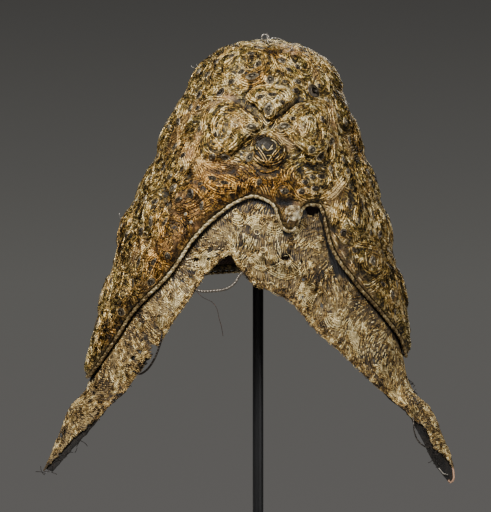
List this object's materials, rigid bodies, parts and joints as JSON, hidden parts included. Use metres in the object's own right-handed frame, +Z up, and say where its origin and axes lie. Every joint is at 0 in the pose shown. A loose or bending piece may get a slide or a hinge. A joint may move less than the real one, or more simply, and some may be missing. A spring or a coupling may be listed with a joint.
{
  "type": "embroidered cap with lace lappets on a display stand",
  "caption": "Padded bell-shaped cap of metal-thread embroidery with an arched front, side flaps and long lace lappets, held up on a plain post and disc base.",
  "frame": {"origin": "middle of the underside of the stand's base, on the axis of its post", "axes": "+Z up along the post, the cap's front faces -Y, +X is the right side as seen from the front"},
  "size_m": [0.3054, 0.1991, 0.384],
  "materials": {
    "embroidery": "couched gold metal thread on silk, worn",
    "padded_gold": "gold metal thread over padding",
    "dark_boss": "tarnished foil and gold thread over padding",
    "piping_cord": "pale gold cord",
    "metal_lace": "tarnished silver bobbin lace",
    "lining_cloth": "dark brown woven lining",
    "backing_cloth": "dark woven cloth",
    "dome_cover": "black cloth over foam",
    "stand_steel": "satin black powder coat"
  },
  "bodies": {
    "root": {"crown": "embroidery", "petal_top": "padded_gold", "petal_left": "padded_gold", "petal_right": "padded_gold", "centre_boss": "dark_boss", "edge_piping": "piping_cord", "lace_border": "metal_lace", "lining": "lining_cloth", "lappet_backing_left": "backing_cloth", "lappet_backing_right": "backing_cloth", "stand_dome": "dome_cover", "stand_post": "stand_steel", "stand_base": "stand_steel"}
  },
  "joints": []
}
